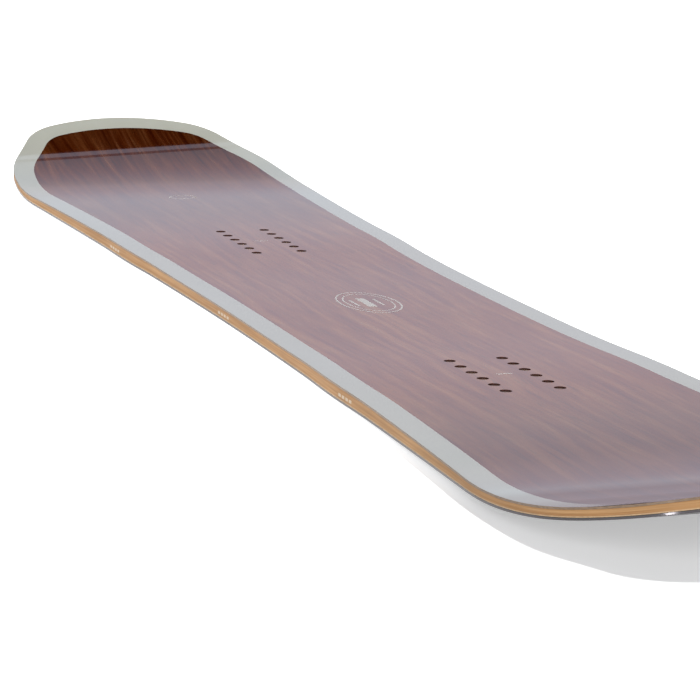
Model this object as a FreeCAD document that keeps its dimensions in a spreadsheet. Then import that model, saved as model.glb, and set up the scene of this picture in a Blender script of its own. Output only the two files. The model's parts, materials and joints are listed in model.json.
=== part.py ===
import FreeCAD, Part

import math
import os

import Sketcher

# A twin-tip snowboard with no bindings fitted. It is a laminate: sintered base and steel edges,
# glass plies, a core of glued stringers inside a bamboo sidewall, and a veneer deck in a pale border.
# +X runs to the nose, +Y to the left edge, +Z up. The origin is on the running surface, mid-length.

V = FreeCAD.Vector
Z_AXIS = V(0, 0, 1)
TAU = 2 * math.pi

# Every driving size, in millimetres and degrees.
SIZES = {
    # Plan shape, one quarter, from the waist to the tip as tangent arcs
    "waist_width": 234.5,
    "waist_radius": 6534,
    "waist_sweep": 1.61,
    "grip_in_radius": 1119,
    "grip_in_sweep": 1.77,
    "grip_radius": 1560,
    "grip_sweep": 2.89,
    "grip_out_radius": 1108,
    "grip_out_sweep": 2.09,
    "flare_radius": 7266,
    "flare_sweep": 1.46,
    "hip_radius": 441,
    "hip_sweep": 12.48,
    "shoulder_radius": 148,
    "shoulder_sweep": 18.87,
    "corner_radius": 56.3,
    "corner_sweep": 42.8,
    "front_radius": 203,
    # Side shape of the running surface: flat, rocker, kick
    "base_flat": 80,
    "rocker_radius": 18000,
    "rocker_sweep": 1.4485,
    "base_kick_radius": 582,
    "kick_sweep": 24,
    # Side shape of the deck: flat, rise to the thick binding zone, ease to a slight slope, run, kick
    "mid_thickness": 10.3,
    "deck_flat": 90,
    "deck_rise_radius": 6300,
    "deck_rise_sweep": 1.046,
    "deck_ease_sweep": 0.746,
    "deck_run": 243,
    "deck_kick_radius": 534,
    # Layers, from the snow upwards
    "base_thickness": 1.1,
    "tang_thickness": 0.4,
    "damping_thickness": 0.2,
    "lower_ply": 0.7,
    "upper_ply": 0.75,
    "deck_skin": 0.65,
    # Widths measured in from the outline
    "rim_width": 2.0,
    "tang_width": 5.0,
    "sidewall_width": 8.0,
    "border_width": 19.6,
    "core_end": 600,
    "stringer_width": 28.8,
    # Binding inserts
    "stance": 533,
    "insert_pitch": 20,
    "row_spacing": 40,
    "deck_hole_radius": 4.2,
    "thread_radius": 2.5,
    "barrel_radius": 4.5,
    "flange_radius": 8,
    "flange_thickness": 0.9,
    "insert_height": 6.9,
    "insert_lift": 0.45,
    "disc_lift": 0.15,
    "disc_thickness": 0.15,
    "pocket_gap": 0.1,
    # Oversize stock that the layers are cut from
    "stock_height": 90,
    "stock_width": 300,
    "stock_length": 1600,
}

STRINGERS = 9
INSERTS_PER_ROW = 6

# A quarter of the outline, from the waist to the tip: (name, turn), +1 hollow and -1 rounded.
# "facet" is the straight cut between shoulder and corner; it and the front's sweep close the shape.
OUTLINE = (
    ("waist", 1),
    ("grip_in", 1),
    ("grip", -1),
    ("grip_out", 1),
    ("flare", 1),
    ("hip", -1),
    ("shoulder", -1),
    ("facet", 0),
    ("corner", -1),
    ("front", -1),
)

BEFORE_FACET = OUTLINE[: OUTLINE.index(("facet", 0))]

doc = FreeCAD.newDocument("snowboard")
sheet = doc.addObject("Spreadsheet::Sheet", "Dims")
for row, (alias, size) in enumerate(SIZES.items(), start=1):
    sheet.set(f"A{row}", alias)
    sheet.set(f"B{row}", str(size))
    sheet.setAlias(f"B{row}", alias)
doc.recompute()


def total(aliases):
    """The sum of the named cells."""
    return sum(sheet.get(alias) for alias in aliases)


def formula(aliases):
    """The expression that adds the named cells."""
    return " + ".join(f"Dims.{alias}" for alias in aliases) or "0"


# ---------------------------------------------------------------- sketch chains


def run(start, heading, length):
    """A straight run: its edge, end point and heading."""
    end = start + V(math.cos(heading), math.sin(heading), 0) * length
    return Part.LineSegment(start, end), end, heading


def turn(start, heading, radius, sweep, side):
    """An arc that leaves start along heading and turns by sweep to the left (side 1) or right (-1)."""
    centre = start + V(-math.sin(heading), math.cos(heading), 0) * radius * side
    first = math.atan2(start.y - centre.y, start.x - centre.x)
    last = first + side * sweep
    low, high = min(first, last), max(first, last)
    if low < 0:
        low, high = low + TAU, high + TAU
    edge = Part.ArcOfCircle(Part.Circle(centre, Z_AXIS, radius), low, high)
    end = centre + V(math.cos(last), math.sin(last), 0) * radius
    return edge, end, heading + side * sweep


class Chain:
    """Tangent runs and arcs in one sketch, each length, radius and sweep bound to the sheet."""

    def __init__(self, sketch, prefix):
        self.sketch = sketch
        self.prefix = prefix
        self.ends = []

    def name(self, index, label, text):
        self.sketch.renameConstraint(index, label)
        self.sketch.setExpression(f"Constraints.{label}", text)

    def bind(self, kind, where, value, label, text):
        index = self.sketch.addConstraint(Sketcher.Constraint(kind, *where, value))
        self.name(index, f"{self.prefix}_{label}", text)

    def add(self, edge, side):
        geo = self.sketch.addGeometry(edge, False)
        first, last = (2, 1) if side < 0 else (1, 2)
        if self.ends:
            before, point = self.ends[-1][0], self.ends[-1][2]
            self.sketch.addConstraint(Sketcher.Constraint("Tangent", before, point, geo, first))
        self.ends.append((geo, first, last))
        return geo


def outline_chain(sketch, prefix, inset):
    """The quarter outline, moved in by the inset cells. Returns its chain and its two end points."""
    shift = total(inset)
    chain = Chain(sketch, prefix)

    def radius(name, side):
        return sheet.get(f"{name}_radius") + side * shift

    def sweep(name):
        return math.radians(sheet.get(f"{name}_sweep"))

    slope = sum(side * sweep(name) for name, side in BEFORE_FACET)
    front_sweep = math.pi / 2 + slope - sweep("corner")
    _, point, heading = turn(V(0, 0, 0), slope, radius("corner", -1), sweep("corner"), -1)
    _, point, heading = turn(point, heading, radius("front", -1), front_sweep, -1)
    tail_drop = -point.y

    start = V(0, sheet.get("waist_width") / 2 - shift, 0)
    point, heading = start, 0.0
    for name, side in OUTLINE:
        if side == 0:
            length = (tail_drop - point.y) / math.sin(heading)
            edge, point, heading = run(point, heading, length)
            chain.add(edge, side)
            continue
        angle = front_sweep if name == "front" else sweep(name)
        edge, point, heading = turn(point, heading, radius(name, side), angle, side)
        geo = chain.add(edge, side)
        sign = "+" if side > 0 else "-"
        text = f"Dims.{name}_radius {sign} ({formula(inset)})"
        chain.bind("Radius", (geo,), radius(name, side), f"{name}_radius", text)
        if name != "front":
            chain.bind("Angle", (geo,), angle, f"{name}_sweep", f"Dims.{name}_sweep")

    first, last = chain.ends[0], chain.ends[-1]
    waist = ("DistanceY", (-1, 1, first[0], first[1]), start.y, "waist")
    chain.bind(*waist, f"Dims.waist_width / 2 - ({formula(inset)})")
    on_y_axis = ((first[0], first[1]), (first[0], 3))
    on_x_axis = ((last[0], last[2]), (last[0], 3))
    for points, axis in ((on_y_axis, -2), (on_x_axis, -1)):
        for geo, pos in points:
            sketch.addConstraint(Sketcher.Constraint("PointOnObject", geo, pos, axis))
    return chain, start, point


def curve_chain(sketch, prefix, height, parts, shift, shift_text):
    """A side curve from x = 0 outwards at the given height; parts are (name, turn) pairs."""
    chain = Chain(sketch, prefix)
    start = V(0, height[0], 0)
    point, heading = start, 0.0
    for name, side in parts:
        if side == 0:
            length = sheet.get(name)
            edge, point, heading = run(point, heading, length)
            geo = chain.add(edge, side)
            chain.bind("Distance", (geo,), length, name, f"Dims.{name}")
            continue
        stem, sweep_name = name
        radius = sheet.get(stem) - side * shift
        angle = math.radians(sheet.get(sweep_name))
        edge, point, heading = turn(point, heading, radius, angle, side)
        geo = chain.add(edge, side)
        sign = "-" if side > 0 else "+"
        label = f"{stem}_{len(chain.ends)}"
        chain.bind("Radius", (geo,), radius, label, f"Dims.{stem} {sign} ({shift_text})")
        chain.bind("Angle", (geo,), angle, f"{label}_sweep", f"Dims.{sweep_name}")
    first = chain.ends[0]
    chain.bind("DistanceY", (-1, 1, first[0], first[1]), start.y, "height", height[1])
    sketch.addConstraint(Sketcher.Constraint("PointOnObject", first[0], first[1], -2))
    sketch.addConstraint(Sketcher.Constraint("Horizontal", first[0]))
    return chain, start, point


def underside_chain(sketch, above):
    """The running surface, moved up by the cells in above."""
    parts = (
        ("base_flat", 0),
        (("rocker_radius", "rocker_sweep"), 1),
        (("base_kick_radius", "kick_sweep"), 1),
    )
    text = formula(above)
    return curve_chain(sketch, "under", (total(above), text), parts, total(above), text)


def deck_chain(sketch, below):
    """The deck surface, moved down by the cells in below."""
    parts = (
        ("deck_flat", 0),
        (("deck_rise_radius", "deck_rise_sweep"), 1),
        (("deck_rise_radius", "deck_ease_sweep"), -1),
        ("deck_run", 0),
        (("deck_kick_radius", "kick_sweep"), 1),
    )
    height = total(["mid_thickness"]) - total(below)
    text = f"Dims.mid_thickness - ({formula(below)})"
    return curve_chain(sketch, "deck", (height, text), parts, -total(below), f"-({formula(below)})")


def join(sketch, points, first, last):
    """Straight lines through points, tied to the sketch points first and last (geometry, position)."""
    before = first
    for a, b in zip(points, points[1:]):
        geo = sketch.addGeometry(Part.LineSegment(a, b), False)
        sketch.addConstraint(Sketcher.Constraint("Coincident", *before, geo, 1))
        before = (geo, 2)
    sketch.addConstraint(Sketcher.Constraint("Coincident", *before, *last))


# ---------------------------------------------------------------- layers


def plane(body, role):
    return next(f for f in body.Origin.OriginFeatures if f.Role == role)


def new_sketch(body, name, role):
    sketch = body.newObject("Sketcher::SketchObject", name)
    sketch.AttachmentSupport = [(plane(body, role), "")]
    sketch.MapMode = "FlatFace"
    return sketch


def pocket(body, sketch, name):
    """Cuts the sketch through the whole body, both ways from its plane."""
    feature = body.newObject("PartDesign::Pocket", name)
    feature.Profile = sketch
    feature.SideType = "Symmetric"
    feature.Type = "Length"
    feature.setExpression("Length", "2 * Dims.stock_width")
    return feature


def mirrored(body, name, role):
    feature = body.newObject("PartDesign::Mirrored", name)
    feature.TransformMode = "Whole shape"
    feature.MirrorPlane = (plane(body, role), [""])
    body.Tip = feature
    return feature


def plan_sketch(body, outer, inner):
    """A quarter of the plan between two insets, or all of it inside outer when inner is None."""
    sketch = new_sketch(body, f"{body.Name}_plan", "XY_Plane")
    far, start, tip = outline_chain(sketch, "outer", outer)
    first, last = far.ends[0], far.ends[-1]
    if inner is None:
        centre = V(0, 0, 0)
        join(sketch, (tip, centre, start), (last[0], last[2]), (first[0], first[1]))
        corner = (last[0] + 1, 2)
        sketch.addConstraint(Sketcher.Constraint("Coincident", *corner, -1, 1))
        return sketch
    near, near_start, near_tip = outline_chain(sketch, "inner", inner)
    join(sketch, (tip, near_tip), (last[0], last[2]), (near.ends[-1][0], near.ends[-1][2]))
    join(sketch, (start, near_start), (first[0], first[1]), (near.ends[0][0], near.ends[0][1]))
    return sketch


def waste_sketch(body, name, chain_of, cells, level):
    """The side region between a curve and the horizontal line at level, out past the tip."""
    sketch = new_sketch(body, f"{body.Name}_{name}", "XZ_Plane")
    chain, start, end = chain_of(sketch, cells)
    points = (end, V(end.x, level, 0), V(0, level, 0), start)
    first, last = chain.ends[0], chain.ends[-1]
    join(sketch, points, (last[0], last[2]), (first[0], first[1]))
    down, across, up = (last[0] + step for step in (1, 2, 3))
    sketch.addConstraint(Sketcher.Constraint("Vertical", down))
    sketch.addConstraint(Sketcher.Constraint("Horizontal", across))
    sketch.addConstraint(Sketcher.Constraint("Vertical", up))
    where = (-1, 1, across, 2)
    index = sketch.addConstraint(Sketcher.Constraint("DistanceY", *where, level))
    sketch.renameConstraint(index, "level")
    sign = "-" if level < 0 else ""
    sketch.setExpression("Constraints.level", f"{sign}Dims.stock_height")
    return sketch


def insert_x(index):
    """The place along the board of one insert in the +X pack, counted from the waist side."""
    steps = index - (INSERTS_PER_ROW - 1) / 2
    value = sheet.get("stance") / 2 + steps * sheet.get("insert_pitch")
    return value, f"Dims.stance / 2 + {steps} * Dims.insert_pitch"


def insert_circles(body, radius_cells):
    """A sketch of the six insert positions that lie in one quarter of the plan."""
    sketch = new_sketch(body, f"{body.Name}_inserts", "XY_Plane")
    radius = total(radius_cells)
    for index in range(INSERTS_PER_ROW):
        x, x_text = insert_x(index)
        y = sheet.get("row_spacing") / 2
        geo = sketch.addGeometry(Part.Circle(V(x, y, 0), Z_AXIS, radius), False)
        for kind, where, value, label, text in (
            ("DistanceX", (-1, 1, geo, 3), x, "x", x_text),
            ("DistanceY", (-1, 1, geo, 3), y, "y", "Dims.row_spacing / 2"),
            ("Radius", (geo,), radius, "radius", formula(radius_cells)),
        ):
            added = sketch.addConstraint(Sketcher.Constraint(kind, *where, value))
            sketch.renameConstraint(added, f"{label}_{index}")
            sketch.setExpression(f"Constraints.{label}_{index}", text)
    return sketch


def trimmed(body, under, over):
    """Cuts the stock to the side curves under and over, each a (curve, cells) pair."""
    height = sheet.get("stock_height")
    for side, (curve, cells), level in (("under", under, -height), ("over", over, height)):
        pocket(body, waste_sketch(body, side, curve, cells, level), f"{body.Name}_{side}_cut")
    doc.recompute()


def mirror_quarter(body):
    """Mirrors the quarter to both ends and then to both sides."""
    mirrored(body, f"{body.Name}_ends", "YZ_Plane")
    doc.recompute()
    mirrored(body, f"{body.Name}_sides", "XZ_Plane")
    doc.recompute()


def layer(name, plan, under, over, holes=None):
    """One layer: a quarter of the plan (outer and inner insets) between two side curves, mirrored."""
    body = doc.addObject("PartDesign::Body", name)
    stock = body.newObject("PartDesign::Pad", f"{name}_stock")
    stock.Profile = plan_sketch(body, *plan)
    stock.setExpression("Length", "Dims.stock_height")
    trimmed(body, under, over)
    if holes is not None:
        pocket(body, insert_circles(body, holes), f"{name}_holes")
        doc.recompute()
    mirror_quarter(body)
    return body


def box(name, low, size):
    """A cutting box: its low corner and its size as expressions."""
    made = doc.addObject("Part::Box", name)
    for axis, text in zip("xyz", low):
        made.setExpression(f"Placement.Base.{axis}", text)
    for side, text in zip(("Length", "Width", "Height"), size):
        made.setExpression(side, text)
    return made


def overlap(name, base, tool):
    made = doc.addObject("Part::Common", name)
    made.Base = base
    made.Tool = tool
    return made


# ---------------------------------------------------------------- cutting boxes

LOW_X = "-Dims.stock_length / 2"
LOW_Y = "-Dims.stock_width / 2"
LOW_Z = "-Dims.stock_height / 2"
TALL = "2 * Dims.stock_height"
LONG = "Dims.stock_length"
HALF_WIDE = "Dims.stock_width / 2"
END_LONG = "Dims.stock_length / 2 - Dims.core_end"
MIDDLE_LONG = "2 * Dims.core_end"

side_boxes = {
    "left": box("left_half", (LOW_X, "0", LOW_Z), (LONG, HALF_WIDE, TALL)),
    "right": box("right_half", (LOW_X, LOW_Y, LOW_Z), (LONG, HALF_WIDE, TALL)),
}
end_boxes = {
    "nose": box("nose_end", ("Dims.core_end", LOW_Y, LOW_Z), (END_LONG, "Dims.stock_width", TALL)),
    "tail": box("tail_end", (LOW_X, LOW_Y, LOW_Z), (END_LONG, "Dims.stock_width", TALL)),
}
# The rim of the board in four runs: two along the sides and one round each tip
run_boxes = {
    "left": box("left_run", ("-Dims.core_end", "0", LOW_Z), (MIDDLE_LONG, HALF_WIDE, TALL)),
    "right": box("right_run", ("-Dims.core_end", LOW_Y, LOW_Z), (MIDDLE_LONG, HALF_WIDE, TALL)),
    **end_boxes,
}
nodes = []


def keep(feature, name):
    """Marks a document object as a sub-part of the board."""
    feature.Label = name
    nodes.append(feature)


# ---------------------------------------------------------------- base and edges

BASE_TOP = ["base_thickness"]
TANG_TOP = BASE_TOP + ["tang_thickness"]
EDGE_TOP = TANG_TOP + ["damping_thickness"]
CORE_UNDER = EDGE_TOP + ["lower_ply"]
PLY_UNDER = ["deck_skin", "upper_ply"]
SKIN_UNDER = ["deck_skin"]
RIM = ["rim_width"]
TANG = RIM + ["tang_width"]

keep(layer("base_sheet", (RIM, None), (underside_chain, []), (underside_chain, BASE_TOP)), "base_sheet")

rim = layer("edge_rim", ([], RIM), (underside_chain, []), (underside_chain, EDGE_TOP))
tang = layer("edge_tang", (RIM, TANG), (underside_chain, BASE_TOP), (underside_chain, TANG_TOP))
edge_ring = doc.addObject("Part::Fuse", "edge_ring")
edge_ring.Base = rim
edge_ring.Tool = tang
damping_ring = layer("damping", (RIM, TANG), (underside_chain, TANG_TOP), (underside_chain, EDGE_TOP))
for side, cutter in run_boxes.items():
    keep(overlap(f"steel_edge_{side}", edge_ring, cutter), f"steel_edge_{side}")
for side, half in side_boxes.items():
    keep(overlap(f"damping_strip_{side}", damping_ring, half), f"damping_strip_{side}")

# ---------------------------------------------------------------- glass plies

inner_ply = layer("inner_ply", (TANG, None), (underside_chain, BASE_TOP), (underside_chain, EDGE_TOP))
keep(inner_ply, "lower_ply_inner")
lower_ply = layer("lower_glass", ([], None), (underside_chain, EDGE_TOP), (underside_chain, CORE_UNDER))
keep(lower_ply, "lower_ply_outer")
barrel_hole = ["barrel_radius", "pocket_gap"]
ply_space = ((deck_chain, PLY_UNDER), (deck_chain, SKIN_UNDER))
upper_ply = layer("upper_glass", ([], None), *ply_space, barrel_hole)
keep(upper_ply, "upper_ply")

# ---------------------------------------------------------------- sidewall and core

SIDEWALL = ["sidewall_width"]
core_space = ((underside_chain, CORE_UNDER), (deck_chain, PLY_UNDER))
sidewall_ring = layer("sidewall", ([], SIDEWALL), *core_space)
for side, cutter in run_boxes.items():
    keep(overlap(f"sidewall_{side}", sidewall_ring, cutter), f"sidewall_{side}")

core_blank = layer("core_blank", (SIDEWALL, None), *core_space, barrel_hole)

# The recess under the core that each insert's flange and its sealing disc sit in
recess = doc.addObject("PartDesign::Body", "flange_recess")
recess_stock = recess.newObject("PartDesign::Pad", "recess_stock")
recess_stock.Profile = insert_circles(recess, ["flange_radius", "pocket_gap"])
recess_stock.setExpression("Length", "Dims.stock_height")
RECESS_TOP = CORE_UNDER + ["insert_lift", "flange_thickness", "pocket_gap", "pocket_gap"]
trimmed(recess, (underside_chain, EDGE_TOP), (underside_chain, RECESS_TOP))
mirror_quarter(recess)
core = doc.addObject("Part::Cut", "core_recessed")
core.Base = core_blank
core.Tool = recess
# The wood ends where the board gets thin, and a spacer fills each tip
for end, cutter in end_boxes.items():
    keep(overlap(f"tip_spacer_{end}", core_blank, cutter), f"tip_spacer_{end}")
for index in range(STRINGERS):
    offset = index - STRINGERS / 2
    strip_low = ("-Dims.core_end", f"{offset} * Dims.stringer_width", LOW_Z)
    strip = box(f"strip_{index + 1}", strip_low, (MIDDLE_LONG, "Dims.stringer_width", TALL))
    keep(overlap(f"stringer_{index + 1}", core, strip), f"core_stringer_{index + 1}")

# ---------------------------------------------------------------- deck

BORDER = ["border_width"]
keep(layer("border", ([], BORDER), (deck_chain, SKIN_UNDER), (deck_chain, [])), "deck_border")
deck_hole = ["deck_hole_radius"]
keep(layer("inlay", (BORDER, None), (deck_chain, SKIN_UNDER), (deck_chain, []), deck_hole), "deck_inlay")

# ---------------------------------------------------------------- inserts


def insert_body():
    """A flanged steel insert with a threaded bore, turned about Z, its flange at the bottom."""
    body = doc.addObject("PartDesign::Body", "insert")
    sketch = new_sketch(body, "insert_profile", "XZ_Plane")
    bore, barrel, flange = (sheet.get(f"{stem}_radius") for stem in ("thread", "barrel", "flange"))
    thick, tall = sheet.get("flange_thickness"), sheet.get("insert_height")
    corners = ((bore, 0), (flange, 0), (flange, thick), (barrel, thick), (barrel, tall), (bore, tall))
    points = [V(x, z, 0) for x, z in corners]
    for index, point in enumerate(points):
        following = points[(index + 1) % len(points)]
        sketch.addGeometry(Part.LineSegment(point, following), False)
    for index in range(len(points)):
        following = (index + 1) % len(points)
        sketch.addConstraint(Sketcher.Constraint("Coincident", index, 2, following, 1))
        kind = "Horizontal" if index % 2 == 0 else "Vertical"
        sketch.addConstraint(Sketcher.Constraint(kind, index))
    sketch.addConstraint(Sketcher.Constraint("PointOnObject", 0, 1, -1))
    for kind, where, alias in (
        ("DistanceX", (-1, 1, 0, 1), "thread_radius"),
        ("DistanceX", (-1, 1, 1, 1), "flange_radius"),
        ("DistanceX", (-1, 1, 3, 1), "barrel_radius"),
        ("DistanceY", (-1, 1, 2, 1), "flange_thickness"),
        ("DistanceY", (-1, 1, 4, 1), "insert_height"),
    ):
        added = sketch.addConstraint(Sketcher.Constraint(kind, *where, sheet.get(alias)))
        sketch.renameConstraint(added, alias)
        sketch.setExpression(f"Constraints.{alias}", f"Dims.{alias}")
    turned = body.newObject("PartDesign::Revolution", "insert_turned")
    turned.Profile = sketch
    turned.ReferenceAxis = (sketch, ["V_Axis"])
    turned.Angle = 360
    return body


insert = insert_body()
disc = doc.addObject("Part::Cylinder", "seal_disc")
disc.setExpression("Radius", "Dims.flange_radius")
disc.setExpression("Height", "Dims.disc_thickness")
doc.recompute()


def row_of(name, piece, end, side, lift):
    """Six copies of a piece in one row, each standing on the rocker at its own place."""
    copies = []
    for index in range(INSERTS_PER_ROW):
        _, x_text = insert_x(index)
        link = doc.addObject("App::Link", f"{name}_{index + 1}")
        link.LinkedObject = piece
        rise = f"Dims.rocker_radius - sqrt(Dims.rocker_radius ^ 2 - ({x_text} - Dims.base_flat) ^ 2)"
        link.setExpression("Placement.Base.x", f"{end} * ({x_text})")
        link.setExpression("Placement.Base.y", f"{side} * Dims.row_spacing / 2")
        link.setExpression("Placement.Base.z", f"{rise} + {formula(CORE_UNDER + [lift])}")
        copies.append(link)
    group = doc.addObject("Part::Compound", name)
    group.Links = copies
    return group


for end_name, end in (("nose", 1), ("tail", -1)):
    for side_name, side in (("left", 1), ("right", -1)):
        for stem, piece, lift in (("inserts", insert, "insert_lift"), ("seal_discs", disc, "disc_lift")):
            name = f"{stem}_{end_name}_{side_name}"
            keep(row_of(name, piece, end, side, lift), name)

# ---------------------------------------------------------------- check and write

doc.recompute()
for made in doc.Objects:
    if {"Invalid", "Error"} & set(made.State):
        raise SystemExit(f"{made.Name} failed: {made.State}")
for node in nodes:
    if node.Shape.isNull() or not node.Shape.isValid():
        raise SystemExit(f"{node.Label} has no valid shape")

os.makedirs("parts", exist_ok=True)
for node in nodes:
    node.Shape.exportStep(f"parts/{node.Label}.step")
    size = node.Shape.BoundBox
    print(
        f"{node.Label:24} solids {len(node.Shape.Solids):2}  volume {node.Shape.Volume / 1000:8.2f} cm3  "
        f"{size.XLength:7.1f} x {size.YLength:6.1f} x {size.ZLength:5.1f}"
    )
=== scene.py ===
import json
import math

import bpy
from mathutils import Matrix, Vector

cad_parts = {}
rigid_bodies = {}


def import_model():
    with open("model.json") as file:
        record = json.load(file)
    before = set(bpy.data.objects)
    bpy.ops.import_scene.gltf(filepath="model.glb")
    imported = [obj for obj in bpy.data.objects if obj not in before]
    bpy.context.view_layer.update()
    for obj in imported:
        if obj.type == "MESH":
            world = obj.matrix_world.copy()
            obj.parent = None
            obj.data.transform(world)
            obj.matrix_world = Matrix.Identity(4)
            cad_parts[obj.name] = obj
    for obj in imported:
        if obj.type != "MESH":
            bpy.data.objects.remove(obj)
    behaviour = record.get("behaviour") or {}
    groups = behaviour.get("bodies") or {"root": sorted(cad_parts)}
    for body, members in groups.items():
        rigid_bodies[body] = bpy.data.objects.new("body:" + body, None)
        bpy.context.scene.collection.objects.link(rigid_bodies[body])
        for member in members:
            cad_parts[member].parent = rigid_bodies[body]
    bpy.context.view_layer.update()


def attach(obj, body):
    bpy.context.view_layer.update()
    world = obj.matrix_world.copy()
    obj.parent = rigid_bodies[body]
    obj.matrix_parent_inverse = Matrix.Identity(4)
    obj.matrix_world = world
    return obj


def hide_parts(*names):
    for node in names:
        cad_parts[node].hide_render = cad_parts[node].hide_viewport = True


# A snowboard deck with no bindings: a laminate with steel edges, bamboo sidewall and a walnut inlay.
# Metres. +X nose, +Y left edge, +Z up; the origin is on the running surface at mid-length.

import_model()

MM = 0.001

# ---------------------------------------------------------------- the board's own formulas (mm, degrees)

# Outline: half a waist, arcs up to the straight facet, then the corner and the front of the tip
WAIST_WIDTH = 234.5
FRONT_RADIUS = 203
CORNER_RADIUS = 56.3
CORNER_SWEEP = 42.8
# Each arc's radius, sweep and turn (+1 hollow, -1 rounded)
ARCS = (
    (6534, 1.61, 1),
    (1119, 1.77, 1),
    (1560, 2.89, -1),
    (1108, 2.09, 1),
    (7266, 1.46, 1),
    (441, 12.48, -1),
    (148, 18.87, -1),
)

# Side curves: level, then arcs; KICK_SWEEP is more than a kick needs, so its arc runs past the tip
MID_THICKNESS = 10.3
KICK_SWEEP = 24
DECK_FLAT = 90
DECK_RISE_RADIUS = 6300
DECK_RISE_SWEEP = 1.046
DECK_EASE_SWEEP = 0.746
DECK_RUN = 243
DECK_KICK = 534
BASE_FLAT = 80
ROCKER_RADIUS = 18000
ROCKER_SWEEP = 1.4485
BASE_KICK = 582

# Tops of the lower layers, above the running surface
BASE_TOP = 1.1
TANG_TOP = 1.5
EDGE_TOP = 1.7
PLY_TOP = 2.4
# Undersides of the upper layers, below the deck
SKIN = 0.65
UPPER_PLY = 1.4
# Inner limits of the layers, in from the outline
RIM = 2.0
TANG = 7.0
SIDEWALL = 8.0
BORDER = 19.6
PLY_INSET = 0.05
# Rounding of the outer corners, and the chamfer round the deck's holes
FILM_ROUND = 0.08
SIDE_ROUND = 0.15
STEEL_ROUND = 0.25
HOLE_CHAMFER = 0.12

# Binding inserts; ROW is the distance from the centre line to a row
STANCE = 533
PITCH = 20
ROW = 20
PER_ROW = 6
HOLE = 4.2
BARREL_HOLE = 4.6
INSERT_LIFT = 0.45
INSERT_HEIGHT = 6.9
BARREL = 4.5
FLANGE = 8.0
FLANGE_THICK = 0.9
BORE = 2.5
THREAD_MAJOR = 3.0
THREAD_PITCH = 1.0

# Mesh and shading
COARSE_STEP = 5.0
FINE_STEP = 1.5
FACET_STEPS = 8
LONG_RADIUS = 300
EASE_REACH = 55
BEVEL_STEPS = 3
WALL_FACES = 2 * BEVEL_STEPS + 1
HOLE_SEGMENTS = 12
SHARP_ANGLE = 28


def turn(point, heading, radius, sweep, side):
    """The centre, start angle and end of an arc that leaves point along heading."""
    centre = (point[0] - math.sin(heading) * radius * side, point[1] + math.cos(heading) * radius * side)
    first = math.atan2(point[1] - centre[1], point[0] - centre[0])
    last = first + side * sweep
    end = (centre[0] + math.cos(last) * radius, centre[1] + math.sin(last) * radius)
    return centre, first, last, end


def outline(inset):
    """The quarter outline moved in by inset: a list of arcs (centre, radius, first, last, side) and one run."""
    slope = sum(side * math.radians(sweep) for _, sweep, side in ARCS)
    corner_radius, corner_sweep = CORNER_RADIUS - inset, math.radians(CORNER_SWEEP)
    front_radius, front_sweep = FRONT_RADIUS - inset, math.pi / 2 + slope - corner_sweep
    _, _, _, end = turn((0, 0), slope, corner_radius, corner_sweep, -1)
    _, _, _, end = turn(end, slope - corner_sweep, front_radius, front_sweep, -1)
    drop = -end[1]

    parts = []
    point, heading = (0.0, WAIST_WIDTH / 2 - inset), 0.0
    for radius, sweep, side in ARCS:
        r, a = radius + side * inset, math.radians(sweep)
        centre, first, last, point = turn(point, heading, r, a, side)
        parts.append((centre, r, first, last, side))
        heading += side * a
    length = (drop - point[1]) / math.sin(heading)
    finish = (point[0] + math.cos(heading) * length, point[1] + math.sin(heading) * length)
    parts.append((point, finish))
    point = finish
    for r, a in ((corner_radius, corner_sweep), (front_radius, front_sweep)):
        centre, first, last, point = turn(point, heading, r, a, -1)
        parts.append((centre, r, first, last, -1))
        heading -= a
    return parts


def quarter(inset):
    """Points and outward normals from the waist to the tip; the same count whatever the inset."""
    counts = []
    for part in outline(0):
        if len(part) == 2:
            counts.append(FACET_STEPS)
            continue
        _, radius, first, last, _ = part
        spacing = COARSE_STEP if radius > LONG_RADIUS else FINE_STEP
        counts.append(max(3, math.ceil(radius * abs(last - first) / spacing)))
    found = []
    for part, count in zip(outline(inset), counts):
        for k in range(count):
            t = k / count
            if len(part) == 2:
                (x0, y0), (x1, y1) = part
                long = math.hypot(x1 - x0, y1 - y0)
                found.append((x0 + (x1 - x0) * t, y0 + (y1 - y0) * t, -(y1 - y0) / long, (x1 - x0) / long))
                continue
            (cx, cy), radius, first, last, side = part
            angle = first + (last - first) * t
            nx, ny = math.cos(angle), math.sin(angle)
            found.append((cx + nx * radius, cy + ny * radius, -side * nx, -side * ny))
    (cx, _), radius, *_ = outline(inset)[-1]
    found.append((cx + radius, 0.0, 1.0, 0.0))
    return found


def loop(inset):
    """The whole outline, anticlockwise from the +X tip: x, y, nx, ny."""
    rise = quarter(inset)[::-1]
    left_back = [(-x, y, -nx, ny) for x, y, nx, ny in rise[::-1]][1:]
    upper = rise + left_back
    lower = [(x, -y, nx, -ny) for x, y, nx, ny in upper[::-1]][1:-1]
    return upper + lower


def edge_y(x, inset):
    """Half the width at x."""
    x = abs(x)
    for part in outline(inset):
        if len(part) == 2:
            (x0, y0), (x1, y1) = part
            if x <= x1:
                return y0 + (y1 - y0) * (x - x0) / (x1 - x0)
            continue
        (cx, cy), radius, _, last, side = part
        if x <= cx + math.cos(last) * radius:
            return cy - side * math.sqrt(max(radius ** 2 - (x - cx) ** 2, 0.0))
    return 0.0


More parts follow.
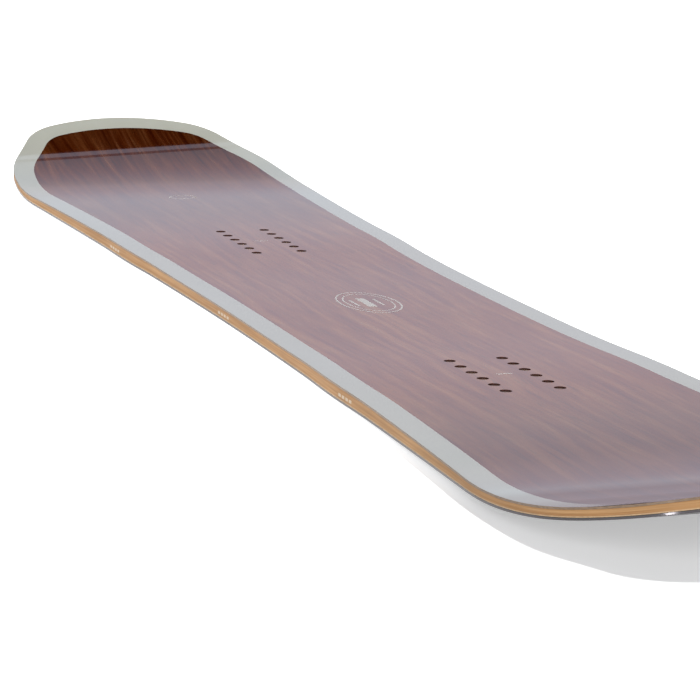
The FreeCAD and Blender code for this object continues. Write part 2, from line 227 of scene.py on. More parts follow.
def curve(x, height, parts):
    """Height and slope at x of a side curve that starts level at x = 0."""
    x, sign = abs(x), math.copysign(1, x)
    px, pz, heading = 0.0, height, 0.0
    for size, sweep, side in parts:
        if side == 0:
            reach = size * math.cos(heading)
            if x <= px + reach:
                return pz + (x - px) * math.tan(heading), sign * math.tan(heading)
            px, pz = px + reach, pz + size * math.sin(heading)
            continue
        cx, cz = px - math.sin(heading) * size * side, pz + math.cos(heading) * size * side
        heading += side * math.radians(sweep)
        end = cx + math.sin(heading) * size * side
        if x <= end or sweep == KICK_SWEEP:
            down = math.sqrt(size ** 2 - (x - cx) ** 2)
            return cz - side * down, sign * side * (x - cx) / down
        px, pz = end, cz - math.cos(heading) * size * side
    return pz, sign * math.tan(heading)


def deck(x, below=0.0):
    """Height and slope of the deck, or of the surface that lies below it."""
    parts = (
        (DECK_FLAT, 0, 0),
        (DECK_RISE_RADIUS + below, DECK_RISE_SWEEP, 1),
        (DECK_RISE_RADIUS - below, DECK_EASE_SWEEP, -1),
        (DECK_RUN, 0, 0),
        (DECK_KICK + below, KICK_SWEEP, 1),
    )
    return curve(x, MID_THICKNESS - below, parts)


def base(x, above=0.0):
    """Height and slope of the running surface, or of the surface that lies above it."""
    parts = (
        (BASE_FLAT, 0, 0),
        (ROCKER_RADIUS - above, ROCKER_SWEEP, 1),
        (BASE_KICK - above, KICK_SWEEP, 1),
    )
    return curve(x, above, parts)


# ---------------------------------------------------------------- meshes


def mesh_object(name, points, faces, material):
    """A mesh in the scene with one material."""
    mesh = bpy.data.meshes.new(name)
    mesh.from_pydata(points, [], faces)
    mesh.materials.append(material)
    made = bpy.data.objects.new(name, mesh)
    bpy.context.scene.collection.objects.link(made)
    return made


class Build:
    """Collects points and faces with a normal and a place on the rim for every face corner.

    Faces whose numbers are in second take the second material.
    """

    def __init__(self):
        self.points = []
        self.faces = []
        self.normals = []
        self.places = []
        self.second = []

    def point(self, x, y, z):
        self.points.append((x * MM, y * MM, z * MM))
        return len(self.points) - 1

    def face(self, corners, normals, places=None):
        kept, kept_normals, kept_places = [], [], []
        for k, (corner, normal) in enumerate(zip(corners, normals)):
            if corner not in kept:
                kept.append(corner)
                kept_normals.append(Vector(normal).normalized())
                kept_places.append(places[k] if places else (0.0, 0.0))
        if len(kept) < 3:
            return
        self.faces.append(kept)
        self.normals.extend(kept_normals)
        self.places.extend(kept_places)

    def make(self, name, material, nodes, second=None):
        made = mesh_object(name, self.points, self.faces, material)
        mesh = made.data
        mesh.shade_smooth()
        mesh.normals_split_custom_set([tuple(n) for n in self.normals])
        if any(place != (0.0, 0.0) for place in self.places):
            layer = mesh.uv_layers.new(name="rim")
            for corner, place in zip(layer.data, self.places):
                corner.uv = place
        if second:
            mesh.materials.append(second)
            for index in self.second:
                mesh.polygons[index].material_index = 1
        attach(made, "root")
        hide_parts(*nodes)
        return made

    def plain_piece(self, name, material):
        """The same mesh with flat faces, as a piece that replaces nothing."""
        made = mesh_object(name, self.points, self.faces, material)
        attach(made, "root")
        return made


def surface_normal(of, x, offset, sign):
    """The normal of a side curve; the deck's is averaged a little so that its gloss has no hard break."""
    slope = of(x, offset)[1]
    if of is deck:
        slope = (deck(x + EASE_REACH, offset)[0] - deck(x - EASE_REACH, offset)[0]) / (2 * EASE_REACH)
    return (-slope * sign, 0.0, sign)


def swept_ring(name, profile, material, nodes, wall=None):
    """Sweeps a closed profile round the whole outline; wall is the material of its outer face.

    profile is a list of (inset, surface, offset, tilt) going round the section; tilt is the angle of
    the section normal at that point, 0 facing outwards, 90 up and -90 down. A pair of points with
    the same place and different tilts makes a sharp corner.
    """
    build = Build()
    loops = {inset: loop(inset) for inset, _, _, _ in profile}
    count = len(loops[profile[0][0]])
    index, normal = [], []
    known = {}
    rim = loops[profile[0][0]]
    travel = [0.0]
    for (x0, y0, *_), (x1, y1, *_) in zip(rim, rim[1:] + rim[:1]):
        travel.append(travel[-1] + math.hypot(x1 - x0, y1 - y0) * MM)
    heights = [offset if of is base else MID_THICKNESS - offset for _, of, offset, _ in profile]
    for k in range(count):
        row, facing = [], []
        for inset, of, offset, tilt in profile:
            x, y, nx, ny = loops[inset][k]
            key = (k, inset, of.__name__, offset)
            if key not in known:
                known[key] = build.point(x, y, of(x, offset)[0])
            row.append(known[key])
            up = Vector(surface_normal(of, x, offset, 1)).normalized()
            out = Vector((nx, ny, 0.0))
            angle = math.radians(tilt)
            facing.append(out * math.cos(angle) + up * math.sin(angle))
        index.append(row)
        normal.append(facing)
    size = len(profile)
    for k in range(count):
        following = (k + 1) % count
        for j in range(size):
            other = (j + 1) % size
            if index[k][j] == index[k][other]:
                continue
            corners = (index[k][j], index[following][j], index[following][other], index[k][other])
            normals = (normal[k][j], normal[following][j], normal[following][other], normal[k][other])
            low, high = heights[j] * MM, heights[other] * MM
            spots = ((travel[k], low), (travel[k + 1], low), (travel[k + 1], high), (travel[k], high))
            build.face(corners, normals, spots)
            if wall and j < WALL_FACES:
                build.second.append(len(build.faces) - 1)
    return build.make(name, material, nodes, wall)


def rounded(inset, low, high, bevel_low, bevel_high):
    """Section points up the outer face at inset, from (surface, offset) low to high, with round corners."""
    points = []
    for (of, offset), bevel, start, end in ((low, bevel_low, -90, 1), (high, bevel_high, 0, -1)):
        into = end if of is base else -end
        for s in range(BEVEL_STEPS + 1):
            tilt = start + 90 * s / BEVEL_STEPS
            angle = math.radians(tilt)
            place = inset + bevel * (1 - math.cos(angle))
            points.append((place, of, offset + into * bevel * (1 + end * math.sin(angle)), tilt))
    return points


def shell(inset_out, inset_in, low, high, bevel_low, bevel_high, rings=3):
    """A rectangular ring section between two insets with rounded outer corners."""
    low_of, low_offset = low
    high_of, high_offset = high
    section = rounded(inset_out, low, high, bevel_low, bevel_high)
    first = inset_out + bevel_high
    for s in range(1, rings + 1):
        section.append((first + (inset_in - first) * s / rings, high_of, high_offset, 90))
    section.append((inset_in, high_of, high_offset, 180))
    section.append((inset_in, low_of, low_offset, 180))
    first = inset_out + bevel_low
    for s in range(rings):
        section.append((inset_in + (first - inset_in) * s / rings, low_of, low_offset, -90))
    return section


def plate(name, inset, low, high, material, nodes, hole=None, chamfer=0.0):
    """A closed plate inside an inset, between two surfaces, with the insert holes when hole is given."""
    build = Build()
    low_of, low_offset = low
    high_of, high_offset = high
    cell = PITCH / HOLE_SEGMENTS
    start = STANCE / 2 - PER_ROW / 2 * PITCH
    finish = start + PER_ROW * PITCH
    rise = [p[0] for p in quarter(inset)]
    if hole is not None:
        margin = cell / 2
        rise = [x for x in rise if x < start - margin or x > finish + margin]
        rise += [start + cell * k for k in range(PER_ROW * HOLE_SEGMENTS + 1)]
        rise.sort()
    stations = [-x for x in rise[::-1]][:-1] + rise
    inner_rows = (-ROW - PITCH / 2, -ROW + PITCH / 2, ROW - PITCH / 2, ROW + PITCH / 2) if hole else ()

    def row_at(x, within):
        """The places across the plate at x; a pack's end stations carry the hole squares' points outside."""
        if x in (stations[0], stations[-1]):
            return [0.0]
        half = edge_y(x, inset)
        across = [-half, half] + [y for y in inner_rows if abs(y) < half]
        if hole and not within and min(abs(abs(x) - limit) for limit in (start, finish)) < cell / 4:
            for centre in (-ROW, ROW):
                across += [centre - PITCH / 2 + cell * t for t in range(1, HOLE_SEGMENTS)]
        return sorted(across)

    strips = []
    for x0, x1 in zip(stations, stations[1:]):
        within = start < abs((x0 + x1) / 2) < finish
        strips.append((x0, row_at(x0, within), x1, row_at(x1, within)))
    vertex = {}

    def put(x, y, top):
        key = (round(x, 6), round(y, 6), top)
        if key not in vertex:
            of, offset = (high_of, high_offset) if top else (low_of, low_offset)
            vertex[key] = build.point(x, y, of(x, offset)[0])
        return vertex[key]

    def both(corners):
        """The same patch on the top and, turned over, on the underside; corners anticlockwise from above."""
        top = [surface_normal(high_of, x, high_offset, 1) for x, _ in corners]
        build.face([put(x, y, True) for x, y in corners], top)
        under = [surface_normal(low_of, x, low_offset, -1) for x, _ in corners[::-1]]
        build.face([put(x, y, False) for x, y in corners[::-1]], under)

    def holed(x0, x1, y0, y1):
        """Whether a patch lies in a pack's squares, which the hole loop fills."""
        inside = abs((x0 + x1) / 2)
        return hole is not None and start < inside < finish and abs(abs((y0 + y1) / 2) - ROW) < cell

    for x0, row0, x1, row1 in strips:
        if len(row0) == len(row1):
            for a0, b0, a1, b1 in zip(row0, row0[1:], row1, row1[1:]):
                if not holed(x0, x1, (a0 + b0) / 2, (a1 + b1) / 2):
                    both([(x0, a0), (x1, a1), (x1, b1), (x0, b0)])
        else:
            both([(x0, y) for y in row0[::-1]] + [(x1, y) for y in row1])
    for x0, row0, x1, row1 in strips:
        for y0, y1 in ((row0[0], row1[0]), (row0[-1], row1[-1])):
            side = 1 if (y0 or y1) > 0 else -1
            if (x0, y0) == (x1, y1):
                continue
            out = (-(y1 - y0) * side, (x1 - x0) * side, 0)
            corners = [put(x0, y0, False), put(x1, y1, False), put(x1, y1, True), put(x0, y0, True)]
            build.face(corners if side < 0 else corners[::-1], [out] * 4)

    if hole is None:
        return build.make(name, material, nodes)

    for end in (-1, 1):
        for step in range(PER_ROW):
            for side in (-1, 1):
                cx, cy = end * (start + PITCH * (step + 0.5)), side * ROW
                square, away = [], []
                for k in range(4 * HOLE_SEGMENTS):
                    quadrant, t = divmod(k, HOLE_SEGMENTS)
                    u, w = -PITCH / 2, -PITCH / 2 + cell * t
                    dx, dy = ((w, u), (-u, w), (-w, -u), (u, -w))[quadrant]
                    angle = math.atan2(dy, dx)
                    square.append((cx + dx, cy + dy))
                    away.append((math.cos(angle), math.sin(angle)))
                tops, throats, lows = [], [], []
                for c, s in away:
                    wide = hole + chamfer
                    x, y = cx + c * wide, cy + s * wide
                    wx, wy = cx + c * hole, cy + s * hole
                    tops.append(build.point(x, y, high_of(x, high_offset)[0]))
                    throats.append(build.point(wx, wy, high_of(wx, high_offset)[0] - chamfer))
                    lows.append(build.point(wx, wy, low_of(wx, low_offset)[0]))
                up = [surface_normal(high_of, cx, high_offset, 1)] * 4
                down = [surface_normal(low_of, cx, low_offset, -1)] * 4
                for k in range(len(square)):
                    n = (k + 1) % len(square)
                    build.face([put(*square[k], True), put(*square[n], True), tops[n], tops[k]], up)
                    build.face([put(*square[n], False), put(*square[k], False), lows[k], lows[n]], down)
                    into, into_next = [(-away[m][0], -away[m][1], 0.0) for m in (k, n)]
                    tilted, tilted_next = [(-away[m][0], -away[m][1], 1.0) for m in (k, n)]
                    build.face([tops[k], tops[n], throats[n], throats[k]],
                               [tilted, tilted_next, tilted_next, tilted])
                    build.face([throats[k], throats[n], lows[n], lows[k]], [into, into_next, into_next, into])
                    build.second += [len(build.faces) - 2, len(build.faces) - 1]
    # The hole walls and chamfers take the cut colour: the cut edge's own dark brown, deepened with painted
    # shade of the hole
    return build.make(name, material, nodes, CUT_AND_SHADE)


def threaded_row(name, end, side, material):
    """Six flanged inserts with a real M6 thread, in one mesh."""
    around, levels, run_out = 40, 34, 4
    small, fillet, bevel, lead_in = 0.15, 0.3, 0.35, 0.45
    steep, root_flat = 3.2, 0.3
    tall, thick = INSERT_HEIGHT, FLANGE_THICK
    outside = [
        (THREAD_MAJOR + 0.1, 0), (FLANGE - small, 0), (FLANGE, small), (FLANGE, thick - small),
        (FLANGE - small, thick), (BARREL + fillet, thick), (BARREL, thick + fillet),
        (BARREL, tall - bevel), (BARREL - bevel, tall), (THREAD_MAJOR + 0.25, tall),
    ]
    depth = THREAD_MAJOR - BORE
    top, low = tall - lead_in, bevel
    build = Build()
    for step in range(PER_ROW):
        along = STANCE / 2 + (step - (PER_ROW - 1) / 2) * PITCH
        x, y, z = end * along, side * ROW, base(along)[0] + PLY_TOP + INSERT_LIFT
        rows = []
        for k in range(around):
            angle = 2 * math.pi * k / around
            line = list(outside)
            for j in range(levels + 1):
                h = top + (low - top) * j / levels
                phase = (h / THREAD_PITCH - k / around) % 1.0
                tooth = min(1.0, max(0.0, abs(phase - 0.5) * steep - root_flat))
                fade = min(1.0, j / run_out, (levels - j) / run_out)
                line.append((THREAD_MAJOR - depth * tooth * fade, h))
            rows.append([build.point(x + r * math.cos(angle), y + r * math.sin(angle), z + h) for r, h in line])
        size = len(rows[0])
        for k in range(around):
            n = (k + 1) % around
            for j in range(size):
                m = (j + 1) % size
                build.faces.append([rows[k][j], rows[n][j], rows[n][m], rows[k][m]])
    made = mesh_object(name, build.points, build.faces, material)
    made.data.shade_smooth()
    made.data.set_sharp_from_angle(angle=math.radians(SHARP_ANGLE))
    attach(made, "root")
    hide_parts(name.replace("threaded_", ""))


# ---------------------------------------------------------------- materials


class Graph:
    """A Principled material with small helpers for its texture nodes, in object coordinates (metres)."""

    def __init__(self, name, colour, roughness, **values):
        self.material = bpy.data.materials.new(name)
        self.material.use_nodes = True
        self.tree = self.material.node_tree
        self.shader = self.tree.nodes["Principled BSDF"]
        self.put("Base Color", colour)
        self.put("Roughness", roughness)
        for label, value in values.items():
            self.put(label.replace("_", " "), value)
        self.where = self.tree.nodes.new("ShaderNodeTexCoord").outputs["Object"]

    def put(self, label, value):
        socket = self.shader.inputs[label]
        if hasattr(value, "is_output"):
            self.tree.links.new(value, socket)
        elif isinstance(value, (int, float)):
            socket.default_value = value
        else:
            socket.default_value = (*value, 1.0)[: len(socket.default_value)]

    def node(self, kind, inputs=(), **settings):
        made = self.tree.nodes.new(kind)
        for label, value in settings.items():
            setattr(made, label, value)
        for label, value in dict(inputs).items():
            socket = made.inputs[label]
            if hasattr(value, "is_output"):
                self.tree.links.new(value, socket)
            else:
                socket.default_value = value
        return made

    def scaled(self, scale, source=None):
        made = self.node("ShaderNodeMapping", {"Vector": source or self.where, "Scale": scale})
        return made.outputs["Vector"]

    def noise(self, scale, detail=4.0, rough=0.55, source=None):
        values = {"Vector": self.scaled(scale, source), "Scale": 1.0, "Detail": detail, "Roughness": rough}
        return self.node("ShaderNodeTexNoise", values).outputs["Fac"]

    def ramp(self, source, stops):
        """Runs evenly through (place, colour) stops."""
        made = self.node("ShaderNodeValToRGB", {"Fac": source})
        while len(made.color_ramp.elements) < len(stops):
            made.color_ramp.elements.new(0.5)
        for element, (place, colour) in zip(made.color_ramp.elements, stops):
            element.position = place
            element.color = (*colour, 1.0)
        return made.outputs["Color"]

    def mix(self, amount, first, second, blend="MIX"):
        """Mixes two colours; sockets 0, 6 and 7 are the colour mode's factor and its two inputs."""
        made = self.node("ShaderNodeMix", data_type="RGBA", blend_type=blend)
        for label, value in ((0, amount), (6, first), (7, second)):
            socket = made.inputs[label]
            if hasattr(value, "is_output"):
                self.tree.links.new(value, socket)
            elif label == 0:
                socket.default_value = value
            else:
                socket.default_value = (*value, 1.0)
        return made.outputs[2]

    def reach(self):
        """How far a place is from mid-length, in metres."""
        along = self.node("ShaderNodeSeparateXYZ", {"Vector": self.where}).outputs["X"]
        return self.node("ShaderNodeMath", {0: along}, operation="ABSOLUTE").outputs["Value"]

    def grey(self, source, low, high):
        """Maps a 0-1 value to low-high."""
        values = {"Value": source, "To Min": low, "To Max": high}
        return self.node("ShaderNodeMapRange", values).outputs["Result"]


GLOSS = {"Coat_Weight": 1.0, "Coat_Roughness": 0.035, "Coat_IOR": 1.5}


def walnut():
    """Streaks and pores that bend a little along the board; a tone by distance from mid-length makes it lighter
    in the middle and darker at the tips.
    """
    g = Graph("walnut_veneer", (0.19, 0.044, 0.004), 0.6, Specular_IOR_Level=0.0, **GLOSS)
    bend = g.noise((2.2, 9.0, 1.0), 2.0)
    lean = g.node("ShaderNodeCombineXYZ", {"Y": g.grey(bend, -0.02, 0.02)}).outputs["Vector"]
    along = g.node("ShaderNodeVectorMath", {0: g.where, 1: lean}, operation="ADD").outputs["Vector"]
    broad = g.noise((1.3, 38.0, 1.0), 3.0, 0.5, source=along)
    fine = g.noise((5.0, 150.0, 1.0), 6.0, 0.65, source=along)
    pores = g.noise((26.0, 700.0, 1.0), 3.0, 0.6, source=along)
    tone = g.ramp(broad, ((0.30, (0.140, 0.031, 0.005)), (0.46, (0.157, 0.039, 0.006)),
                          (0.58, (0.172, 0.048, 0.008)), (0.72, (0.188, 0.059, 0.012))))
    streak = g.ramp(fine, ((0.30, (0.72, 0.38, 0.1)), (0.5, (0.97, 0.96, 0.95)), (0.70, (1.26, 1.75, 3.2))))
    mixed = g.mix(1.0, tone, streak, "MULTIPLY")
    figure = g.noise((14.0, 95.0, 1.0), 3.0, 0.6, source=along)
    flecks = g.ramp(figure, ((0.36, (0.86, 0.7, 0.5)), (0.52, (1.0, 1.0, 1.0)), (0.68, (1.1, 1.3, 1.8))))
    mixed = g.mix(1.0, mixed, flecks, "MULTIPLY")
    specks = g.ramp(pores, ((0.36, (0.45, 0.45, 0.45)), (0.46, (1.0, 1.0, 1.0))))
    grained = g.mix(0.6, mixed, g.mix(1.0, mixed, specks, "MULTIPLY"))
    bold = g.ramp(fine, ((0.34, (0.55, 0.48, 0.5)), (0.5, (0.97, 0.95, 0.95)), (0.68, (1.5, 1.8, 1.8))))
    tips = g.ramp(g.reach(), ((0.58, (0.0, 0.0, 0.0)), (0.68, (0.8, 0.8, 0.8))))
    grained = g.mix(tips, grained, g.mix(1.0, grained, bold, "MULTIPLY"))
    # Lighter in the middle and darker towards the tips, by distance from mid-length
    reach_tone = g.ramp(g.reach(), ((0.0, (1.55, 1.4, 1.2)), (0.30, (1.55, 1.4, 1.2)), (0.42, (1.1, 1.0, 0.9)),
                                (0.56, (0.95, 0.65, 0.4)), (0.62, (0.8, 0.55, 0.45)), (0.68, (0.40, 0.33, 0.4)),
                                (0.73, (0.34, 0.27, 0.3))))
    g.put("Base Color", g.mix(1.0, grained, reach_tone, "MULTIPLY"))
    return g.material


def cream():
    """The pale border film, a shade darker at the tips."""
    g = Graph("border_film", (0.44, 0.45, 0.40), 0.6, Specular_IOR_Level=0.0, **GLOSS)
    cloud = g.noise((6.0, 30.0, 1.0), 3.0)
    tone = g.ramp(cloud, ((0.3, (0.475, 0.475, 0.425)), (0.7, (0.50, 0.50, 0.45))))
    # A little darker towards the tips, by distance from mid-length
    reach_tone = g.ramp(g.reach(), ((0.64, (1.0, 1.0, 1.0)), (0.70, (0.90, 0.905, 0.88))))
    g.put("Base Color", g.mix(1.0, tone, reach_tone, "MULTIPLY"))
    return g.material


def bamboo():
    """Strips and fibres that run round the rim, placed by the mesh's rim coordinates."""
    g = Graph("bamboo", (0.44, 0.25, 0.10), 0.5, Specular_IOR_Level=0.06)
    rim = g.tree.nodes["Texture Coordinate"].outputs["UV"]
    strips = g.noise((5.0, 620.0, 1.0), 3.0, 0.55, source=rim)
    fibre = g.noise((25.0, 2200.0, 1.0), 3.0, 0.6, source=rim)
    patch = g.noise((14.0, 60.0, 1.0), 2.0, 0.5, source=rim)
    tone = g.ramp(strips, ((0.3, (0.34, 0.180, 0.078)), (0.5, (0.42, 0.240, 0.112)),
                           (0.7, (0.49, 0.300, 0.150))))
    hair = g.ramp(fibre, ((0.32, (0.80, 0.78, 0.76)), (0.62, (1.06, 1.05, 1.04))))
    shade = g.ramp(patch, ((0.3, (0.90, 0.88, 0.85)), (0.7, (1.06, 1.06, 1.06))))
    g.put("Base Color", g.mix(1.0, g.mix(1.0, tone, hair, "MULTIPLY"), shade, "MULTIPLY"))
    return g.material


def glass(name, low, high):
    """The cut edge of a glass ply."""
    g = Graph(name, low, 0.4, Specular_IOR_Level=0.4)
    weave = g.noise((400.0, 400.0, 900.0), 2.0)
    g.put("Base Color", g.ramp(weave, ((0.35, low), (0.65, high))))
    return g.material


def steel(name, low, high, roughness, metallic=1.0):
    """Metal with fine grinding marks along the rim."""
    g = Graph(name, low, roughness, Metallic=metallic)
    grind = g.noise((60.0, 60.0, 5000.0), 4.0, 0.6)
    g.put("Base Color", g.ramp(grind, ((0.3, low), (0.7, high))))
    g.put("Roughness", g.grey(grind, roughness - 0.06, roughness + 0.08))
    return g.material


def plain(name, low, high, roughness, scale=200.0):
    """A matt material with a faint mottle."""
    g = Graph(name, low, roughness)
    cloud = g.noise((scale, scale, scale), 3.0)
    g.put("Base Color", g.ramp(cloud, ((0.35, low), (0.65, high))))
    return g.material


def timber():
    """The core's wood, with grain along the board."""
    g = Graph("core_wood", (0.7, 0.55, 0.36), 0.6, Specular_IOR_Level=0.3)
    strip = g.noise((4.0, 90.0, 90.0), 4.0)
    g.put("Base Color", g.ramp(strip, ((0.3, (0.55, 0.40, 0.24)), (0.7, (0.74, 0.60, 0.41)))))
    return g.material


WALNUT = walnut()
CREAM = cream()
BAMBOO = bamboo()
PLY_DARK = glass("upper_glass", (0.17, 0.115, 0.075), (0.24, 0.165, 0.105))
PLY_PALE = glass("lower_glass", (0.40, 0.26, 0.14), (0.50, 0.34, 0.19))
# The edge steel's colour is near black, far darker than bare steel: painted dark reflection, over real grinding
# marks
EDGE = steel("edge_steel", (0.085, 0.078, 0.082), (0.125, 0.118, 0.122), 0.2)
INSERT = steel("insert_steel", (0.20, 0.13, 0.11), (0.30, 0.21, 0.18), 0.3, 0.5)
BASE = plain("sintered_base", (0.02, 0.02, 0.024), (0.03, 0.03, 0.034), 0.38)
RUBBER = plain("damping_rubber", (0.014, 0.014, 0.015), (0.022, 0.022, 0.023), 0.75, 500.0)
FOAM = plain("seal_foam", (0.66, 0.66, 0.62), (0.78, 0.78, 0.74), 0.85, 900.0)
TIP = plain("tip_plastic", (0.09, 0.09, 0.095), (0.12, 0.12, 0.125), 0.5)
INK = plain("pale_ink", (0.60, 0.57, 0.55), (0.68, 0.65, 0.63), 0.5, 300.0)
SIDE_INK = plain("side_ink", (0.46, 0.36, 0.25), (0.54, 0.43, 0.31), 0.5, 300.0)
# Hole walls and chamfers: the cut layers' dark brown, deepened with painted shade so the holes look shadowed
CUT_AND_SHADE = plain("cut_edge_and_shade", (0.06, 0.024, 0.018), (0.10, 0.044, 0.034), 0.6, 900.0)
CORE = timber()

# ---------------------------------------------------------------- pieces that take the place of CAD nodes

SKIN_LOW, SKIN_HIGH = (deck, SKIN), (deck, 0.0)
RUNS = ("left", "right", "nose", "tail")

swept_ring("border_ring", shell(0, BORDER, SKIN_LOW, SKIN_HIGH, FILM_ROUND, SIDE_ROUND, 6),
           CREAM, ["deck_border"], PLY_DARK)
plate("inlay_sheet", BORDER, SKIN_LOW, SKIN_HIGH,
      WALNUT, ["deck_inlay"], HOLE, HOLE_CHAMFER)
plate("upper_glass_sheet", PLY_INSET, (deck, UPPER_PLY), SKIN_LOW,
      PLY_DARK, ["upper_ply"], BARREL_HOLE)
swept_ring("sidewall_ring", shell(0, SIDEWALL, (base, PLY_TOP), (deck, UPPER_PLY), SIDE_ROUND, SIDE_ROUND),
           BAMBOO, [f"sidewall_{run}" for run in RUNS])
plate("lower_glass_sheet", PLY_INSET, (base, EDGE_TOP), (base, PLY_TOP),
      PLY_PALE, ["lower_ply_outer"])
edge_section = rounded(0, (base, 0.0), (base, EDGE_TOP), STEEL_ROUND, STEEL_ROUND) + [
    (RIM, base, EDGE_TOP, 90), (RIM, base, EDGE_TOP, 180), (RIM, base, TANG_TOP, 180),
    (RIM, base, TANG_TOP, 90), (TANG, base, TANG_TOP, 90), (TANG, base, TANG_TOP, 180),
    (TANG, base, BASE_TOP, 180), (TANG, base, BASE_TOP, -90), (RIM, base, BASE_TOP, -90),
    (RIM, base, BASE_TOP, 180), (RIM, base, 0.0, 180), (RIM, base, 0.0, -90),
]
swept_ring("edge_ring", edge_section, EDGE, [f"steel_edge_{run}" for run in RUNS])
plate("base_plate", RIM, (base, 0.0), (base, BASE_TOP),
      BASE, ["base_sheet"])
for end_name, end in (("nose", 1), ("tail", -1)):
    for side_name, side in (("left", 1), ("right", -1)):
        threaded_row(f"threaded_inserts_{end_name}_{side_name}", end, side, INSERT)

# ---------------------------------------------------------------- plain marks


def ribbon(name, path, width, closed, lift=0.01, thick=0.04):
    """A thin pale line of ink laid on the deck along path."""
    build = Build()
    rows = []
    count = len(path)
    for k, (x, y) in enumerate(path):
        before = path[k - 1] if closed or k else path[k]
        after = path[(k + 1) % count] if closed or k + 1 < count else path[k]
        dx, dy = after[0] - before[0], after[1] - before[1]
        long = math.hypot(dx, dy)
        ox, oy = -dy / long * width / 2, dx / long * width / 2
        section = []
        for side, rise in ((-1, lift), (-1, lift + thick), (1, lift + thick), (1, lift)):
            px, py = x + ox * side, y + oy * side
            section.append(build.point(px, py, deck(px)[0] + rise))
        rows.append(section)
    for a, b in zip(rows, rows[1:] + rows[:1] if closed else rows[1:]):
        for j in range(4):
            m = (j + 1) % 4
            build.faces.append([a[j], a[m], b[m], b[j]])
    if not closed:
        build.faces.append(rows[0][::-1])
        build.faces.append(rows[-1])
    build.plain_piece(name, INK)


def ring(long, wide, x=0.0, count=72):
    """An ellipse on the centre line at x."""
    turns = [2 * math.pi * k / count for k in range(count)]
    return [(x + long * math.cos(a), wide * math.sin(a)) for a in turns]


ribbon("mark_ring_outer", ring(40, 23), 1.35, True)
ribbon("mark_ring_inner", ring(33, 18), 1.1, True)
ribbon("mark_bar", [(x, -2) for x in range(-16, 17, 4)], 7.0, False)
ribbon("mark_bar_left", [(x, 8) for x in range(-12, 13, 4)], 1.8, False)
ribbon("mark_bar_right", [(x, -12) for x in range(-12, 13, 4)], 1.8, False)
ribbon("mark_tail_ring", ring(9, 12.5, -498), 1.0, True)
for end_name, end in (("nose", 1), ("tail", -1)):
    ribbon(f"mark_stance_{end_name}", [(end * STANCE / 2, y) for y in range(-6, 7, 3)], 1.6, False)


def side_dashes(name, x, count=4, long=5.0, gap=2.2, low=1.6, high=3.8):
    """Short plain dashes on the right sidewall."""
    build = Build()
    for k in range(count):
        start = x + (k - count / 2) * (long + gap)
        rows = []
        for step in range(3):
            px = start + long * step / 2
            section = []
            for inset, rise in ((-0.01, low), (-0.04, low), (-0.04, high), (-0.01, high)):
                section.append(build.point(px, -edge_y(px, inset), base(px, PLY_TOP)[0] + rise))
            rows.append(section)
        for a, b in zip(rows, rows[1:]):
            for j in range(4):
                m = (j + 1) % 4
                build.faces.append([a[j], b[j], b[m], a[m]])
        build.faces.append(rows[0])
        build.faces.append(rows[-1][::-1])
    build.plain_piece(name, SIDE_INK)


for index, x in enumerate((-287, -2, 287)):
    side_dashes(f"mark_side_{index + 1}", x)

# ---------------------------------------------------------------- materials for the nodes that stay

STAYING = {
    "damping_strip": RUBBER,
    "lower_ply_inner": PLY_PALE,
    "tip_spacer": TIP,
    "core_stringer": CORE,
    "seal_discs": FOAM,
}
for stem, material in STAYING.items():
    for made in list(bpy.context.scene.objects):
        if made.type == "MESH" and made.name.startswith(stem):
            made.data.materials.clear()
            made.data.materials.append(material)

# ---------------------------------------------------------------- stage, light and camera


def floor_paint():
    """White, glowing more towards the tail so that only the nose end keeps its shadow."""
    g = Graph("floor_paint", (0.82, 0.82, 0.82), 0.9, Specular_IOR_Level=0.0)
    along = g.node("ShaderNodeSeparateXYZ", {"Vector": g.where}).outputs["X"]
    place = g.node("ShaderNodeMapRange", {"Value": along, "From Min": 0.25, "From Max": 0.55}).outputs["Result"]
    g.put("Emission Color", g.ramp(place, ((0.0, (1.0, 1.0, 1.0)), (1.0, (0.42, 0.42, 0.42)))))
    g.put("Emission Strength", 1.0)
    return g.material


def glow_paint(name, *stops):
    """Only gives off light; stops are (height, colour), and a single stop is one colour all over."""
    g = Graph(name, (0.0, 0.0, 0.0), 1.0, Specular_IOR_Level=0.0)
    g.put("Emission Color", stops[0][1])
    if len(stops) > 1:
        height = stops[-1][0]
        up = g.node("ShaderNodeSeparateXYZ", {"Vector": g.where}).outputs["Z"]
        place = g.node("ShaderNodeMapRange", {"Value": up, "From Max": height}).outputs["Result"]
        g.put("Emission Color", g.ramp(place, [(z / height, colour) for z, colour in stops]))
    g.put("Emission Strength", 1.0)
    return g.material


def card(name, corners, material):
    """A backdrop panel seen only in reflections."""
    made = mesh_object(name, corners, [(0, 1, 2, 3)], material)
    made.visible_camera = False
    made.visible_diffuse = False
    made.visible_shadow = False
    return made


def surround(name, radius, height, material, count=64):
    """A pale curtain round the stage that only the camera sees, for views low enough to look past the floor."""
    corners = []
    for k in range(count):
        angle = 2 * math.pi * k / count
        for z in (-0.01, height):
            corners.append((radius * math.cos(angle), radius * math.sin(angle), z))
    total = len(corners)
    faces = [(2 * k, 2 * k + 1, (2 * k + 3) % total, (2 * k + 2) % total) for k in range(count)]
    made = mesh_object(name, corners, faces, material)
    made.visible_glossy = False
    made.visible_diffuse = False
    made.visible_shadow = False
    return made


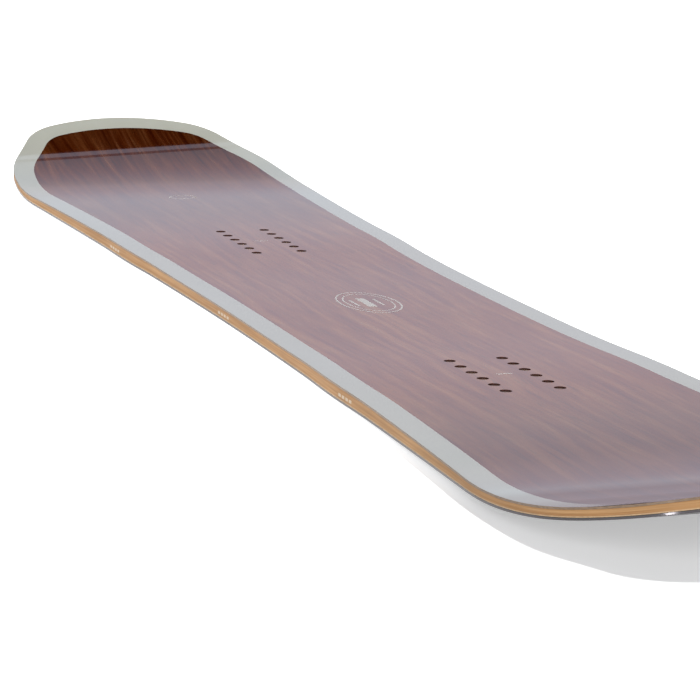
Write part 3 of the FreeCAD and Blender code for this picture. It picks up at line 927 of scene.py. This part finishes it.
FLOOR_HALF = 20
FLOOR_DROP = -0.0002
CARD_LIFT = 0.001
GLINT_LIFT = 0.002
WALL = (
    (0.0, (0.55, 0.53, 0.62)), (0.35, (0.57, 0.57, 0.67)), (0.62, (0.74, 0.80, 0.94)),
    (0.85, (0.72, 0.74, 0.88)), (1.12, (0.72, 0.74, 0.86)), (1.3, (0.60, 0.66, 0.78)),
    (1.6, (0.52, 0.60, 0.75)), (1.9, (0.47, 0.56, 0.70)), (3.0, (0.45, 0.54, 0.67)),
)
floor_corners = [(x * FLOOR_HALF, y * FLOOR_HALF, FLOOR_DROP) for x, y in ((-1, -1), (1, -1), (1, 1), (-1, 1))]
low_paint = glow_paint("low_paint", (0.0, (0.53, 0.51, 0.60)))
stage = [
    mesh_object("floor", floor_corners, [(0, 1, 2, 3)], floor_paint()),
    # The far wall that the deck's gloss shows, the dark band and pale strip along its top, and the dark beyond
    card("wall", [(-4, -6, 0), (-4, 8, 0), (-4, 1.6, 2.86), (-4, 0.8, 2.34)], glow_paint("wall_paint", *WALL)),
    card("dim", [(-3.99, 0.5, 2.15), (-3.99, 2.0, 3.12), (-3.99, 2.0, 3.2), (-3.99, 0.5, 2.23)],
         glow_paint("dim_paint", (0.0, (0.20, 0.22, 0.28)))),
    card("strip", [(-3.98, 0.5, 2.23), (-3.98, 2.0, 3.2), (-3.98, 2.0, 3.36), (-3.98, 0.5, 2.4)],
         glow_paint("strip_paint", (0.0, (0.55, 0.62, 0.78)))),
    card("flag", [(-4.05, -8, 0), (-4.05, 12, 0), (-4.05, 12, 9), (-4.05, -8, 9)],
         glow_paint("flag_paint", (0.0, (0.0, 0.0, 0.0)))),
    # Two covers that keep the bright floor out of the deck's gloss
    card("low", [(-0.78, -4, CARD_LIFT), (-0.78, 0.15, CARD_LIFT), (-4, 0.15, CARD_LIFT), (-4, -4, CARD_LIFT)],
         low_paint),
    card("side", [(1.2, 0.15, CARD_LIFT), (1.2, 8, CARD_LIFT), (-4, 8, CARD_LIFT), (-4, 0.15, CARD_LIFT)],
         low_paint),
    # The small lamp that makes the glint on the near steel edge
    card("glint", [(0.735, -0.24, GLINT_LIFT), (0.765, -0.24, GLINT_LIFT),
                   (0.765, -0.205, GLINT_LIFT), (0.735, -0.205, GLINT_LIFT)],
         glow_paint("glint_paint", (0.0, (30.0, 30.0, 30.0)))),
    surround("surround", 19.0, 14.0,
             glow_paint("pale_paint", (0.0, (0.93, 0.93, 0.94)), (1.0, (0.98, 0.98, 0.98)))),
]


def sun(name, energy, towards, spread):
    """A sun that shines from the direction towards, spread degrees wide, and shows in no reflection."""
    data = bpy.data.lights.new(name, "SUN")
    data.energy = energy
    data.angle = math.radians(spread)
    made = bpy.data.objects.new(name, data)
    made.location = towards
    made.rotation_euler = (-Vector(towards)).to_track_quat("-Z", "Y").to_euler()
    made.visible_glossy = False
    bpy.context.scene.collection.objects.link(made)


sun("key", 1.9, (0.3, 0.4, 1.0), 3.0)
sun("fill", 2.6, (4.0, -2.2, 1.25), 50.0)

world = bpy.data.worlds.new("studio")
world.use_nodes = True
sky = world.node_tree.nodes["Background"]
sky.inputs["Color"].default_value = (0.9, 0.93, 1.0, 1.0)
sky.inputs["Strength"].default_value = 0.15
bpy.context.scene.world = world

# The camera stands at the photograph's place, 2.2 m from the middle of the board and 0.44 m up
camera = bpy.data.objects.new("camera", bpy.data.cameras.new("camera"))
camera.data.sensor_width = 36
camera.data.lens = 146.8
right = Vector((0.34399, 0.93866, 0.02442))
down = Vector((0.20732, -0.05056, -0.97697))
ahead = Vector((-0.9158, 0.34113, -0.21199))
camera.matrix_world = Matrix.Translation((2.0312, -0.7709, 0.4428)) @ Matrix(
    ((right.x, -down.x, -ahead.x), (right.y, -down.y, -ahead.y), (right.z, -down.z, -ahead.z))
).to_4x4()
camera.data.shift_x = -0.0004
camera.data.shift_y = 0.0011
bpy.context.scene.collection.objects.link(camera)
bpy.context.scene.camera = camera
bpy.context.scene.view_settings.view_transform = "Standard"
